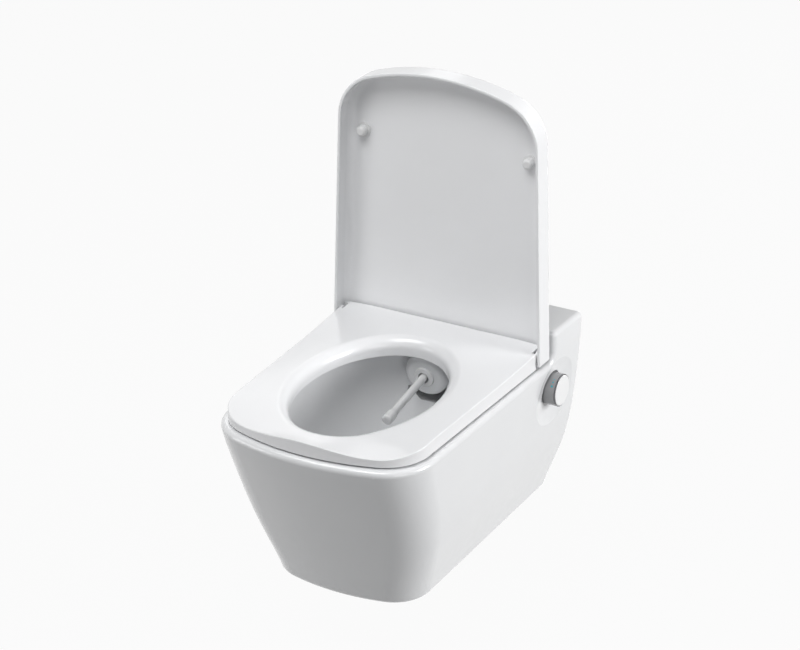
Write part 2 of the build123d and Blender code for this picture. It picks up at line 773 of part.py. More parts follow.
with BuildPart() as seat:
    extrude(seat_outline(seat_base_plane), amount=seat_stock)
    rear_corners = seat.edges().filter_by(Axis.Z)
    rear_corners = rear_corners.filter_by_position(Axis.Y, seat_rear - margin, seat_rear + margin)
    fillet(rear_corners, radius=seat_rear_corner)
    add(above_seat(0), mode=Mode.SUBTRACT)
    extrude(seat_hole_outline(seat_base_plane), amount=over, mode=Mode.SUBTRACT)
    top_edges = seat.edges().filter_by_position(Axis.Z, seat_low + margin, ceiling)
    hole_rear = seat_hole_centre + seat_hole_long
    hole_front = seat_hole_centre - seat_hole_long
    hole_edges = top_edges.filter_by_position(Axis.Y, hole_front - margin, hole_rear + margin)
    hole_edges = hole_edges.filter_by_position(Axis.X, -seat_hole_half - margin, seat_hole_half + margin)
    hole_edges = [edge for edge in hole_edges if edge.bounding_box().max.Y < hole_rear + margin
                  and edge.bounding_box().min.Y > hole_front - margin]
    fillet(hole_edges, radius=seat_hole_roll)
    crease = seat.edges().filter_by_position(Axis.Z, seat_low + margin, ceiling)
    crease = [edge for edge in crease if abs(edge.center().X) > seat_hole_half + seat_hole_roll
              or edge.center().Y < hole_front - seat_hole_roll
              or edge.center().Y > seat_rear - margin]
    fillet([edge for edge in crease if edge.geom_type != GeomType.LINE], radius=seat_edge_radius)
    add(seat_hollow.part, mode=Mode.SUBTRACT)

    # Behind the axis the seat is cut to circles: the lower one clears the rim as the seat swings up,
    # and the upper one clears the lid's inner face as the lid comes down
    lower_sweep = axis_z - rim_height - seat_sweep_clearance
    upper_sweep = lid_back - lid_panel - axis_y - lid_sweep_clearance
    for sweep_radius, up in ((lower_sweep, Align.MAX), (upper_sweep, Align.MIN)):
        with BuildSketch(Plane.YZ.offset(-seat_half - margin)):
            with Locations((axis_y, axis_z)):
                Rectangle(over, over, align=(Align.MIN, up))
                Circle(sweep_radius, mode=Mode.SUBTRACT)
        extrude(amount=2 * (seat_half + margin), mode=Mode.SUBTRACT)

    # Notches for the hinge blocks in the rear wall and for the lid's lugs in the sides
    with BuildSketch(Plane.XY.offset(axis_z + hinge_block_half + hinge_block_clearance)):
        with Locations(*[(x, axis_y) for x in hinge_xs]):
            Rectangle(2 * (hinge_base_radius + hinge_base_clearance), over, align=(Align.CENTER, Align.MIN))
    extrude(amount=-over, mode=Mode.SUBTRACT)
    with BuildSketch(seat_under_plane):
        for side in sides:
            with Locations((side * (seat_half - seat_side - seat_notch_overlap), axis_y)):
                Rectangle(over, 2 * (lug_radius + notch_clearance),
                          align=(Align.MIN if side > 0 else Align.MAX, Align.CENTER))
    extrude(amount=over, mode=Mode.SUBTRACT)

    # Bores for the hinge shafts and recesses for the pads
    for side in sides:
        extrude(disc(shaft_radius + running_clearance, side_plane(block_inner, side, axis_y, axis_z)),
                amount=seat_half - block_inner, mode=Mode.SUBTRACT)
        damper_relief = disc(damper_radius + damper_swing_gap,
                             side_plane(rib_outer + rib_width, side, axis_y, axis_z))
        extrude(damper_relief, amount=seat_half - rib_outer - rib_width, mode=Mode.SUBTRACT)
    with BuildSketch(seat_under_plane):
        with Locations(*[(side * x, y) for x, y in seat_pad_places for side in sides]):
            Circle(seat_pad_radius)
    extrude(amount=seat_pad_recess + margin, mode=Mode.SUBTRACT)
save(seat, "seat")

with BuildPart() as seat_bumpers:
    with BuildSketch(Plane.XY.offset(rim_height + pad_gap)):
        with Locations(*[(side * x, y) for x, y in seat_pad_places for side in sides]):
            Circle(seat_pad_radius)
    extrude(amount=seat_low + seat_pad_recess - rim_height - pad_gap)
save(seat_bumpers, "seat_bumpers")

def tube(radius_out, radius_in, start, end):
    with BuildPart() as part:
        extrude(ring(radius_out, radius_in, along(start)), amount=end - start)
    return part.part


# The water enters the guide through a port that points to the side
feed_port_plane = Plane(origin=along(feed_port_s).origin, x_dir=(0, 0, 1), z_dir=(1, 0, 0))

with BuildPart() as spray_guide:
    extrude(disc(guide_radius, along(guide_rear)), amount=-guide_front - guide_rear)
    extrude(disc(guide_collar_radius, along(collar_front)), amount=-guide_collar)
    extrude(disc(feed_port_radius, feed_port_plane), amount=feed_port_end)
    extrude(disc(guide_bore, along(guide_rear)), amount=-guide_rear, mode=Mode.SUBTRACT)
    extrude(disc(feed_port_bore, feed_port_plane), amount=feed_port_end, mode=Mode.SUBTRACT)
save(spray_guide, "spray_guide")

with BuildPart() as spray_guide_gasket:
    gasket = ring(guide_collar_radius, guide_radius + seal_clearance, along(collar_front))
    extrude(gasket, amount=gasket_thickness)
save(spray_guide_gasket, "spray_guide_gasket")

with BuildPart() as spray_end_cap:
    extrude(disc(guide_bore - end_plug_clearance, along(guide_rear)), amount=end_plug)
    extrude(disc(guide_radius, along(guide_rear)), amount=-end_flange)
save(spray_end_cap, "spray_end_cap")

with BuildPart() as spray_mouth_ring:
    extrude(disc(mouth_flange_radius, along(0)), amount=mouth_flange)
    fillet(spray_mouth_ring.edges().sort_by(Axis.Y)[0], radius=mouth_round)
    extrude(disc(guide_bore - mouth_clearance, along(0)), amount=-mouth_skirt)
    extrude(disc(mouth_radius, along(-mouth_skirt)), amount=mouth_skirt + mouth_flange, mode=Mode.SUBTRACT)
save(spray_mouth_ring, "spray_mouth_ring")

seal_centre = (piston_front + piston_rear) / 2
seal_start = seal_centre - piston_seal_width / 2
seal_end = seal_centre + piston_seal_width / 2
piston_radius = guide_bore - running_clearance

with BuildPart() as piston:
    add(tube(piston_radius, arm_radius, piston_rear, piston_front))
    add(tube(guide_bore, piston_radius - piston_seal_depth, seal_start, seal_end), mode=Mode.SUBTRACT)
save(piston, "piston")

with BuildPart() as piston_seal:
    add(tube(piston_radius, piston_radius - piston_seal_depth, seal_start, seal_end))
save(piston_seal, "piston_seal")

pin_plane = Plane(origin=along(spring_anchor).origin, x_dir=(0, 0, 1), z_dir=(1, 0, 0))

with BuildPart() as spray_arm:
    add(tube(arm_radius, arm_bore, piston_rear, head_rear))
    add(tube(head_spigot, arm_bore, head_rear, head_rear + head_socket))
    extrude(disc(anchor_pin_radius, pin_plane), amount=arm_radius, both=True, mode=Mode.SUBTRACT)
save(spray_arm, "spray_arm")

with BuildPart() as spring_anchor_pin:
    extrude(disc(anchor_pin_radius, pin_plane), amount=arm_radius - pin_inset, both=True)
save(spring_anchor_pin, "spring_anchor_pin")

# The head is turned: it flares from the arm, then closes in a dome, with a water space inside
head_plane = Plane(origin=along(0).origin, x_dir=spray_plane.z_dir, z_dir=(1, 0, 0))
head_inner = head_radius - head_wall
nozzle_s = arm_reach - nozzle_setback
nozzle_plane = Plane(origin=along(nozzle_s).origin, x_dir=(1, 0, 0), z_dir=(0, -tilt_sin, tilt_cos))

with BuildPart() as nozzle_head:
    with BuildSketch(head_plane):
        with BuildLine():
            flare_end = head_rear + head_flare
            dome_start = arm_reach - head_dome
            Line((head_rear, 0), (head_rear, arm_radius))
            Spline((head_rear, arm_radius), (flare_end, head_radius), tangents=((1, 0), (1, 0)))
            Line((flare_end, head_radius), (dome_start, head_radius))
            Spline((dome_start, head_radius), (arm_reach, 0), tangents=((1, 0), (0, -1)))
            Line((arm_reach, 0), (head_rear, 0))
        make_face()
    revolve(axis=Axis(along(0).origin, spray_plane.z_dir))
    extrude(disc(head_spigot, along(head_rear)), amount=head_socket, mode=Mode.SUBTRACT)
    extrude(disc(arm_bore, along(head_rear)), amount=head_flare, mode=Mode.SUBTRACT)
    water_length = head_length - head_flare - head_dome
    extrude(disc(head_inner, along(flare_end)), amount=water_length, mode=Mode.SUBTRACT)
    with BuildSketch(nozzle_plane):
        with GridLocations(nozzle_pitch, nozzle_pitch, 2, 2):
            Circle(nozzle_hole)
    extrude(amount=head_radius, mode=Mode.SUBTRACT)
save(nozzle_head, "nozzle_head")

# Return spring, stretched between the end plug and the pin while the water holds the arm out
with BuildPart() as return_spring:
    spring_start = along(chamber_rear + spring_wire).origin
    spring_length = spring_anchor - anchor_pin_radius - 2 * spring_wire - chamber_rear
    with BuildLine() as coil:
        Helix(pitch=spring_length / spring_turns, height=spring_length, radius=spring_mean,
              center=spring_start, direction=spray_plane.z_dir)
    with BuildSketch(Plane(origin=coil.line @ 0, z_dir=coil.line % 0)):
        Circle(spring_wire)
    sweep(is_frenet=True)
save(return_spring, "return_spring")

# Valve bodies behind the knobs: the mixer on -X and the flow valve on +X
valve_z_low = knob_z - valve_radius - port_length
valve_y_rear = knob_y + valve_radius + port_length
neck_end = pocket_floor + lock_nut
barrel_end = knob_face - knob_cap
plate_inner = barrel_end - knob_plate


def knob_side_plane(x, side):
    return side_plane(x, side, knob_y, knob_z)


def rear_port(x):
    return Plane(origin=(x, knob_y, knob_z), x_dir=(1, 0, 0), z_dir=(0, 1, 0))


def bottom_port(x):
    return Plane(origin=(x, knob_y, knob_z), x_dir=(1, 0, 0), z_dir=(0, 0, -1))


def valve_body(side, ports):
    with BuildPart() as body:
        barrel = disc(valve_radius, knob_side_plane(valve_inner, side))
        extrude(barrel, amount=pad_inner - valve_gasket - valve_inner)
        extrude(disc(neck_radius, knob_side_plane(valve_inner, side)), amount=neck_end - valve_inner)
        for port in ports:
            extrude(disc(port_radius, port), amount=valve_radius + port_length)
        cavity_end = pad_inner - valve_gasket - valve_front_wall
        extrude(disc(cartridge_radius + cartridge_clearance, knob_side_plane(valve_inner, side)),
                amount=cavity_end - valve_inner, mode=Mode.SUBTRACT)
        extrude(disc(spindle_radius + neck_bore_clearance, knob_side_plane(valve_inner, side)),
                amount=neck_end - valve_inner, mode=Mode.SUBTRACT)
        for port in ports:
            extrude(disc(port_bore, port), amount=valve_radius + port_length, mode=Mode.SUBTRACT)
    return body


def cartridge(side):
    with BuildPart() as body:
        cavity_end = pad_inner - valve_gasket - valve_front_wall
        housing = disc(cartridge_radius, knob_side_plane(cartridge_rear, side))
        extrude(housing, amount=cavity_end - cartridge_rear)
        bore_start = spindle_inner - spindle_end_gap
        extrude(disc(spindle_radius + running_clearance, knob_side_plane(bore_start, side)),
                amount=cavity_end - bore_start, mode=Mode.SUBTRACT)
    return body


def spindle(side):
    with BuildPart() as rod:
        section = disc(spindle_radius, knob_side_plane(spindle_inner, side))
        extrude(section, amount=plate_inner - spindle_inner)
    return rod


def knob(side):
    # A cup with a hub for the spindle; its open side faces the ceramic
    with BuildPart() as cup:
        extrude(disc(knob_radius, knob_side_plane(knob_root, side)), amount=barrel_end - knob_root)
        extrude(ring(knob_radius - knob_wall, knob_hub_radius, knob_side_plane(knob_root, side)),
                amount=plate_inner - knob_root, mode=Mode.SUBTRACT)
        extrude(disc(knob_hub_radius, knob_side_plane(knob_root, side)), amount=knob_hub_inner - knob_root,
                mode=Mode.SUBTRACT)
        extrude(disc(spindle_radius, knob_side_plane(knob_root, side)), amount=plate_inner - knob_root,
                mode=Mode.SUBTRACT)
    return cup


def knob_band(side):
    with BuildPart() as band:
        extrude(ring(knob_radius, knob_radius - knob_ring_width, knob_side_plane(barrel_end, side)),
                amount=knob_ring)
    return band


def knob_disc(side):
    with BuildPart() as cap:
        cap_radius = knob_radius - knob_ring_width - knob_cap_clearance
        extrude(disc(cap_radius, knob_side_plane(barrel_end, side)), amount=knob_cap)
        face_edges = cap.edges().sort_by(lambda edge: abs(edge.center().X))[-1]
        fillet(face_edges, radius=knob_cap_round)
    return cap


mixer_ports = [rear_port(-mixed_port_x), bottom_port(-outer_port_x), bottom_port(-inner_port_x)]
flow_ports = [rear_port(outer_port_x), rear_port(inner_port_x)]
save(valve_body(-1, mixer_ports), "mixer_body")
save(valve_body(1, flow_ports), "flow_valve_body")
save(cartridge(-1), "thermostatic_cartridge")
save(cartridge(1), "flow_cartridge")
save(spindle(-1), "temperature_spindle")
save(spindle(1), "flow_spindle")
save(knob(-1), "temperature_knob")
save(knob(1), "flow_knob")
save(knob_band(-1), "temperature_knob_ring")
save(knob_band(1), "flow_knob_ring")
save(knob_disc(-1), "temperature_knob_cap")
save(knob_disc(1), "flow_knob_cap")

with BuildPart() as valve_gaskets:
    for side in sides:
        extrude(ring(valve_radius, neck_radius, knob_side_plane(pad_inner - valve_gasket, side)),
                amount=valve_gasket)
save(valve_gaskets, "valve_gaskets")

with BuildPart() as valve_lock_nuts:
    for side in sides:
        nut_plane = knob_side_plane(pocket_floor, side)
        extrude(hex_face(lock_nut_flats, nut_plane), amount=lock_nut)
        extrude(disc(neck_radius, nut_plane), amount=lock_nut, mode=Mode.SUBTRACT)
save(valve_lock_nuts, "valve_lock_nuts")

with BuildPart() as valve_plugs:
    for side in sides:
        extrude(disc(cartridge_radius, knob_side_plane(valve_inner, side)), amount=plug_depth)
        extrude(hex_face(plug_flats, knob_side_plane(valve_inner - plug_head, side)), amount=plug_head)
save(valve_plugs, "valve_plugs")

# Hoses: the two supplies, the mixed water that crosses behind the spray unit, and the spray feed
tail_end = -supply_pin_length - supply_hex_length - port_length
feed_y = along(feed_port_s).origin.Y
feed_z = along(feed_port_s).origin.Z
hose_routes = {
    "hot_hose": (supply_bends, [
        (-outer_port_x, tail_end, hot_z),
        (-outer_port_x, knob_y, hot_z),
        (-outer_port_x, knob_y, valve_z_low),
    ]),
    "cold_hose": (supply_bends, [
        (-inner_port_x, tail_end, cold_z),
        (-inner_port_x, knob_y, cold_z),
        (-inner_port_x, knob_y, valve_z_low),
    ]),
    "mixed_hose": (cross_bends, [
        (-mixed_port_x, valve_y_rear, knob_z),
        (-mixed_port_x, cross_y, knob_z),
        (-mixed_port_x, cross_y, cross_height),
        (outer_port_x, cross_y, cross_height),
        (outer_port_x, cross_y, knob_z),
        (outer_port_x, valve_y_rear, knob_z),
    ]),
    "spray_feed_hose": (feed_bends, [
        (inner_port_x, valve_y_rear, knob_z),
        (inner_port_x, feed_y, knob_z),
        (inner_port_x, feed_y, feed_z),
        (feed_port_end, feed_y, feed_z),
    ]),
}
hose_ends = []
for name, (bends, route) in hose_routes.items():
    with BuildPart() as hose:
        add(pipe(route, hose_radius, bends, hose_bore))
    save(hose, name)
    hose_ends.append((Vector(*route[0]), Vector(*route[1])))
    hose_ends.append((Vector(*route[-1]), Vector(*route[-2])))

with BuildPart() as hose_unions:
    for end, toward in hose_ends:
        direction = (toward - end).normalized()
        extrude(ring(union_radius, hose_radius, Plane(origin=end, z_dir=direction)), amount=union_length)
save(hose_unions, "hose_unions")

with BuildPart() as supply_nipples:
    for x, z in ((-outer_port_x, hot_z), (-inner_port_x, cold_z)):
        extrude(disc(supply_pin_radius, wall_plane(0, x, z)), amount=supply_pin_length)
        extrude(hex_face(supply_hex, wall_plane(supply_pin_length, x, z)), amount=supply_hex_length)
        tail = disc(port_radius, wall_plane(supply_pin_length, x, z))
        extrude(tail, amount=supply_hex_length + port_length)
        extrude(disc(port_bore, wall_plane(0, x, z)), amount=-tail_end, mode=Mode.SUBTRACT)
save(supply_nipples, "supply_nipples")
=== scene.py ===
import bpy
import bmesh
import json
from math import cos, pi, radians, sin
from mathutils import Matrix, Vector


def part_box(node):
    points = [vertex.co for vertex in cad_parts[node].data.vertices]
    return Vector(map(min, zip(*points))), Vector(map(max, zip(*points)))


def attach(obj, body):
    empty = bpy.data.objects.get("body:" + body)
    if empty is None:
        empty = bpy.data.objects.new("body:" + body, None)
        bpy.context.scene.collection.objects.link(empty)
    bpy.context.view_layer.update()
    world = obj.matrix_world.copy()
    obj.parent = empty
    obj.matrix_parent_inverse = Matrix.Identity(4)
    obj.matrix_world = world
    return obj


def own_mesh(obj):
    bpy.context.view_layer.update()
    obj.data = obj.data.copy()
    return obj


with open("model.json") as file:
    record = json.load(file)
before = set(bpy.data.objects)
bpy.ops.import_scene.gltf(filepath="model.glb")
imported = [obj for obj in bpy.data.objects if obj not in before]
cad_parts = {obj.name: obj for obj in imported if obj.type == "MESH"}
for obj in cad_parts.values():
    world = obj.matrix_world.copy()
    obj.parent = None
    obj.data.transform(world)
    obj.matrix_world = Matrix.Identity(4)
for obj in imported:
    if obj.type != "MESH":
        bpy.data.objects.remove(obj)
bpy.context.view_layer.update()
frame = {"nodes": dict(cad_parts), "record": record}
nodes = frame["nodes"]
print("frame loaded:", len(nodes), "pieces")

# Camera at the photograph's angle. Azimuth 0 looks along +Y, lengths in metres, lens in millimetres.
cameraSetup = {
    "azimuth": 28.8, "elevation": 25.4, "distance": 3.8073, "lens": 116.5,
    "target": (0.0235, -0.270, 0.1923), "shiftX": -0.006, "shiftY": 0.003,
}


def pointAround(target, azimuth, elevation, distance):
    a, e = radians(azimuth), radians(elevation)
    return Vector(target) + distance * Vector((sin(a) * cos(e), -cos(a) * cos(e), sin(e)))


def makeCamera(setup):
    camera = bpy.data.objects.new("Camera", bpy.data.cameras.new("Camera"))
    bpy.context.scene.collection.objects.link(camera)
    camera.location = pointAround(setup["target"], setup["azimuth"], setup["elevation"], setup["distance"])
    aim = Vector(setup["target"]) - camera.location
    camera.rotation_euler = aim.to_track_quat("-Z", "Y").to_euler()
    camera.data.lens = setup["lens"]
    camera.data.shift_x = setup["shiftX"]
    camera.data.shift_y = setup["shiftY"]
    bpy.context.scene.camera = camera


makeCamera(cameraSetup)


# Small helpers for node trees
def socketNamed(sockets, name):
    return next(s for s in sockets if s.name == name)


class Graph:
    def __init__(self, tree):
        self.tree = tree

    def add(self, kind, **values):
        node = self.tree.nodes.new(kind)
        for name, value in values.items():
            setattr(node, name, value)
        return node

    def feed(self, node, name, value):  # a socket takes a link or a plain value
        target = node.inputs[name] if isinstance(name, int) else socketNamed(node.inputs, name)
        if isinstance(value, bpy.types.NodeSocket):
            self.tree.links.new(value, target)
        else:
            target.default_value = value

    def math(self, operation, a, b=0.0, clamp=False):
        node = self.add("ShaderNodeMath", operation=operation, use_clamp=clamp)
        self.feed(node, 0, a)
        self.feed(node, 1, b)
        return node.outputs[0]

    def noise(self, vector, scale, detail=2.0, rough=0.5):
        node = self.add("ShaderNodeTexNoise")
        self.feed(node, "Vector", vector)
        self.feed(node, "Scale", scale)
        self.feed(node, "Detail", detail)
        self.feed(node, "Roughness", rough)
        return node.outputs[0]

    def remap(self, value, fromLow, fromHigh, toLow, toHigh):
        node = self.add("ShaderNodeMapRange")
        for name, setting in zip(("Value", "From Min", "From Max", "To Min", "To Max"),
                                 (value, fromLow, fromHigh, toLow, toHigh)):
            self.feed(node, name, setting)
        return node.outputs[0]

    def mixColour(self, factor, low, high):
        node = self.add("ShaderNodeMix", data_type="RGBA")
        self.feed(node, 0, factor)
        self.feed(node, 6, low)
        self.feed(node, 7, high)
        return node.outputs[2]


def newGroup(name, inputs, outputs):
    tree = bpy.data.node_groups.new(name, "ShaderNodeTree")
    for label, value in inputs:
        given = tree.interface.new_socket(label, in_out="INPUT", socket_type="NodeSocketFloat")
        given.default_value = value
    for label in outputs:
        tree.interface.new_socket(label, in_out="OUTPUT", socket_type="NodeSocketFloat")
    graph = Graph(tree)
    return graph, graph.add("NodeGroupInput").outputs, graph.add("NodeGroupOutput")


def objectPosition(graph):
    return graph.add("ShaderNodeTexCoord").outputs["Object"]


# Slow changes of tone and gloss over a surface, as hands, cleaning and firing leave them
def buildToneGroup():
    graph, given, out = newGroup("toneVariation", [("Scale", 6.0), ("Fine Scale", 60.0)], ["Broad", "Fine"])
    place = objectPosition(graph)
    broad = graph.noise(place, given["Scale"], detail=3.0)
    fine = graph.noise(place, given["Fine Scale"], detail=4.0, rough=0.6)
    graph.feed(out, "Broad", graph.remap(broad, 0.3, 0.7, 0.0, 1.0))
    graph.feed(out, "Fine", graph.remap(fine, 0.3, 0.7, 0.0, 1.0))
    return graph.tree


# Low waves of a poured or moulded glossy skin, the effect called orange peel
def buildRippleGroup():
    waves = [("Wave Scale", 22.0), ("Peel Scale", 260.0), ("Peel Share", 0.2)]
    graph, given, out = newGroup("skinRipple", waves, ["Height"])
    place = objectPosition(graph)
    wave = graph.noise(place, given["Wave Scale"], detail=1.0)
    peel = graph.noise(place, given["Peel Scale"], detail=1.0)
    graph.feed(out, "Height", graph.math("ADD", wave, graph.math("MULTIPLY", peel, given["Peel Share"])))
    return graph.tree


# Sparse small specks, as a kiln leaves in a glaze
def buildSpeckGroup():
    graph, given, out = newGroup("kilnSpecks", [("Scale", 90.0), ("Size", 0.05)], ["Mask"])
    cells = graph.add("ShaderNodeTexVoronoi")
    graph.feed(cells, "Vector", objectPosition(graph))
    graph.feed(cells, "Scale", given["Scale"])
    near = graph.math("LESS_THAN", cells.outputs["Distance"], given["Size"])
    pick = graph.math("GREATER_THAN", cells.outputs["Color"], 0.86)  # one cell in seven or so has a speck
    graph.feed(out, "Mask", graph.math("MULTIPLY", near, pick))
    return graph.tree


# Fine grain of moulded rubber and matte plastic
def buildGrainGroup():
    graph, given, out = newGroup("mouldGrain", [("Scale", 900.0)], ["Height", "Mask"])
    grain = graph.noise(objectPosition(graph), given["Scale"], detail=3.0, rough=0.65)
    graph.feed(out, "Height", grain)
    graph.feed(out, "Mask", graph.remap(grain, 0.35, 0.65, 0.0, 1.0))
    return graph.tree


# Lathe marks: close lines across a slanted direction, with uneven depth
def buildLatheGroup():
    graph, given, out = newGroup("latheMarks", [("Rings Per Metre", 2400.0), ("Unevenness", 40.0)],
                                 ["Height", "Mask"])
    place = objectPosition(graph)
    split = graph.add("ShaderNodeSeparateXYZ")
    graph.feed(split, 0, place)
    slant = graph.math("ADD", split.outputs["X"], graph.math("ADD", split.outputs["Y"], split.outputs["Z"]))
    rings = graph.math("SINE", graph.math("MULTIPLY", slant, given["Rings Per Metre"]))
    uneven = graph.noise(place, given["Unevenness"], detail=2.0)
    graph.feed(out, "Height", graph.math("MULTIPLY", rings, uneven))
    graph.feed(out, "Mask", graph.remap(uneven, 0.35, 0.65, 0.0, 1.0))
    return graph.tree


effects = {
    "tone": buildToneGroup(), "ripple": buildRippleGroup(), "specks": buildSpeckGroup(),
    "grain": buildGrainGroup(), "lathe": buildLatheGroup(),
}
print("shared effects built:", len(effects))


def startMaterial(name, fixed):
    # A material with its Principled shader; the fixed values go on the shader's own sockets
    material = bpy.data.materials.new(name)
    material.use_nodes = True
    graph = Graph(material.node_tree)
    shader = material.node_tree.nodes["Principled BSDF"]
    for socket, value in fixed.items():
        graph.feed(shader, socket, value)
    return material, graph, shader


def useEffect(graph, effect, **values):
    node = graph.add("ShaderNodeGroup", node_tree=effects[effect])
    for name, value in values.items():
        graph.feed(node, name.replace("_", " "), value)
    return node.outputs


def addBump(graph, shader, height, strength, distance):
    bump = graph.add("ShaderNodeBump")
    graph.feed(bump, "Strength", strength)
    graph.feed(bump, "Distance", distance)
    graph.feed(bump, "Height", height)
    graph.feed(shader, "Normal", bump.outputs[0])


def glazedCeramic():
    look = {
        "colour": (0.800, 0.806, 0.815, 1), "thin": (0.770, 0.778, 0.790, 1),
        "speck": (0.66, 0.64, 0.61, 1), "gloss": (0.15, 0.22), "bump": 0.02, "depth": 0.002,
        "shader": {"IOR": 1.5, "Coat Weight": 0.5, "Coat Roughness": 0.06},
        "tone": {"Scale": 5.0, "Fine_Scale": 70.0}, "specks": {"Scale": 85.0, "Size": 0.035},
        "ripple": {"Wave_Scale": 14.0, "Peel_Scale": 240.0, "Peel_Share": 0.02},
    }
    material, graph, shader = startMaterial("glazedCeramic", look["shader"])
    tone = useEffect(graph, "tone", **look["tone"])
    specks = useEffect(graph, "specks", **look["specks"])
    glaze = graph.mixColour(tone["Broad"], look["colour"], look["thin"])
    graph.feed(shader, "Base Color", graph.mixColour(specks["Mask"], glaze, look["speck"]))
    graph.feed(shader, "Roughness", graph.remap(tone["Fine"], 0.0, 1.0, *look["gloss"]))
    ripple = useEffect(graph, "ripple", **look["ripple"])
    addBump(graph, shader, ripple["Height"], look["bump"], look["depth"])
    return material


# What the materials of one family share; bump depths in metres
families = {
    "moulded": {
        "shader": {"IOR": 1.5, "Coat Weight": 0.3, "Coat Roughness": 0.08}, "depth": 0.0015,
        "tone": {"Scale": 7.0, "Fine_Scale": 90.0},
        "skin": {"Wave_Scale": 26.0, "Peel_Scale": 320.0, "Peel_Share": 0.02},
    },
    "grained": {
        "shader": {"IOR": 1.48}, "depth": 0.0004, "tone": {"Scale": 14.0, "Fine_Scale": 200.0},
    },
    "metal": {
        "shader": {"Metallic": 1.0}, "depth": 0.0002, "tone": {"Scale": 30.0, "Fine_Scale": 400.0},
        "unevenness": 120.0,
    },
}


def moulded(name, colour, shade, gloss, bump=0.012):
    family = families["moulded"]
    material, graph, shader = startMaterial(name, family["shader"])
    tone = useEffect(graph, "tone", **family["tone"])
    graph.feed(shader, "Base Color", graph.mixColour(tone["Broad"], colour, shade))
    graph.feed(shader, "Roughness", graph.remap(tone["Fine"], 0.0, 1.0, *gloss))
    skin = useEffect(graph, "ripple", **family["skin"])
    addBump(graph, shader, skin["Height"], bump, family["depth"])
    return material


def grained(name, colour, shade, gloss, scale, bump):
    family = families["grained"]
    material, graph, shader = startMaterial(name, family["shader"])
    grain = useEffect(graph, "grain", Scale=scale)
    tone = useEffect(graph, "tone", **family["tone"])
    graph.feed(shader, "Base Color", graph.mixColour(tone["Broad"], colour, shade))
    graph.feed(shader, "Roughness", graph.remap(grain["Mask"], 0.0, 1.0, *gloss))
    addBump(graph, shader, grain["Height"], bump, family["depth"])
    return material


def metal(name, colour, worn, gloss, ringsPerMetre, bump):
    family = families["metal"]
    material, graph, shader = startMaterial(name, family["shader"])
    marks = useEffect(graph, "lathe", Rings_Per_Metre=ringsPerMetre, Unevenness=family["unevenness"])
    tone = useEffect(graph, "tone", **family["tone"])
    graph.feed(shader, "Base Color", graph.mixColour(tone["Broad"], colour, worn))
    graph.feed(shader, "Roughness", graph.remap(tone["Fine"], 0.0, 1.0, *gloss))
    addBump(graph, shader, marks["Height"], bump, family["depth"])
    return material


# A look has its family, name, colour, second tone and gloss. Grain has its scale and bump after them, and
# metal its rings per metre and bump.
looks = {
    "seat_plastic": (moulded, "seatPlastic", (0.84, 0.845, 0.855, 1), (0.825, 0.83, 0.842, 1),
                     (0.19, 0.25)),
    "knob_plastic": (moulded, "knobPlastic", (0.86, 0.862, 0.865, 1), (0.84, 0.842, 0.846, 1),
                     (0.19, 0.25)),
    "mouth_plastic": (moulded, "mouthPlastic", (0.78, 0.785, 0.79, 1), (0.75, 0.755, 0.76, 1),
                      (0.19, 0.25)),
    "sleeve_plastic": (grained, "sleevePlastic", (0.50, 0.52, 0.54, 1), (0.45, 0.47, 0.49, 1),
                       (0.42, 0.55), 1400.0, 0.15),
    "damper_plastic": (grained, "damperPlastic", (0.06, 0.063, 0.067, 1), (0.045, 0.047, 0.05, 1),
                       (0.4, 0.52), 1400.0, 0.15),
    "bumper_rubber": (grained, "bumperRubber", (0.74, 0.745, 0.75, 1), (0.70, 0.70, 0.70, 1),
                      (0.38, 0.48), 1100.0, 0.08),
    "seal_rubber": (grained, "sealRubber", (0.022, 0.022, 0.023, 1), (0.032, 0.031, 0.030, 1),
                    (0.55, 0.7), 900.0, 0.3),
    "steel": (metal, "steelFixings", (0.58, 0.58, 0.60, 1), (0.50, 0.50, 0.52, 1),
              (0.28, 0.40), 9000.0, 0.12),
    "chrome": (metal, "chromePlate", (0.74, 0.745, 0.76, 1), (0.70, 0.70, 0.72, 1),
               (0.05, 0.11), 3000.0, 0.01),
    "brass": (metal, "machinedBrass", (0.60, 0.42, 0.17, 1), (0.50, 0.34, 0.13, 1),
              (0.28, 0.40), 6000.0, 0.15),
    "braided_hose": (metal, "hoseBraid", (0.50, 0.50, 0.52, 1), (0.40, 0.40, 0.42, 1),
                     (0.3, 0.45), 5000.0, 0.5),
}
materials = {slot: build(*values) for slot, (build, *values) in looks.items()}
materials["glazed_ceramic"] = glazedCeramic()
print("materials built:", len(materials))

# Each carried-over node takes the material of its slot. The knobs' barrels have their own grey shade, and
# the rings a dark chrome that paints a dark reflection.
barrelSatin = moulded("barrelSatin", (0.36, 0.362, 0.37, 1), (0.33, 0.332, 0.34, 1), (0.20, 0.26))
# painted reflection: the rings' chrome is given a near-black colour so that they show dark
ringPaintedDarkReflection = metal("ringPaintedDarkReflection", (0.20, 0.20, 0.21, 1), (0.16, 0.16, 0.17, 1), (0.06, 0.12), 3000.0, 0.01)
materialOfNode = {
    "flow_knob": barrelSatin, "temperature_knob": barrelSatin,
    "flow_knob_ring": ringPaintedDarkReflection, "temperature_knob_ring": ringPaintedDarkReflection,
}
slotOfNode = {part["node"]: part["material_slot"] for part in frame["record"]["subparts"]}
for nodeName, piece in nodes.items():
    piece.data.materials.clear()
    piece.data.materials.append(materialOfNode.get(nodeName, materials[slotOfNode[nodeName]]))


def addPiece(name, mesh, material, body):
    piece = bpy.data.objects.new(name, mesh)
    bpy.context.scene.collection.objects.link(piece)
    mesh.materials.append(material)
    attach(piece, body)
    return piece


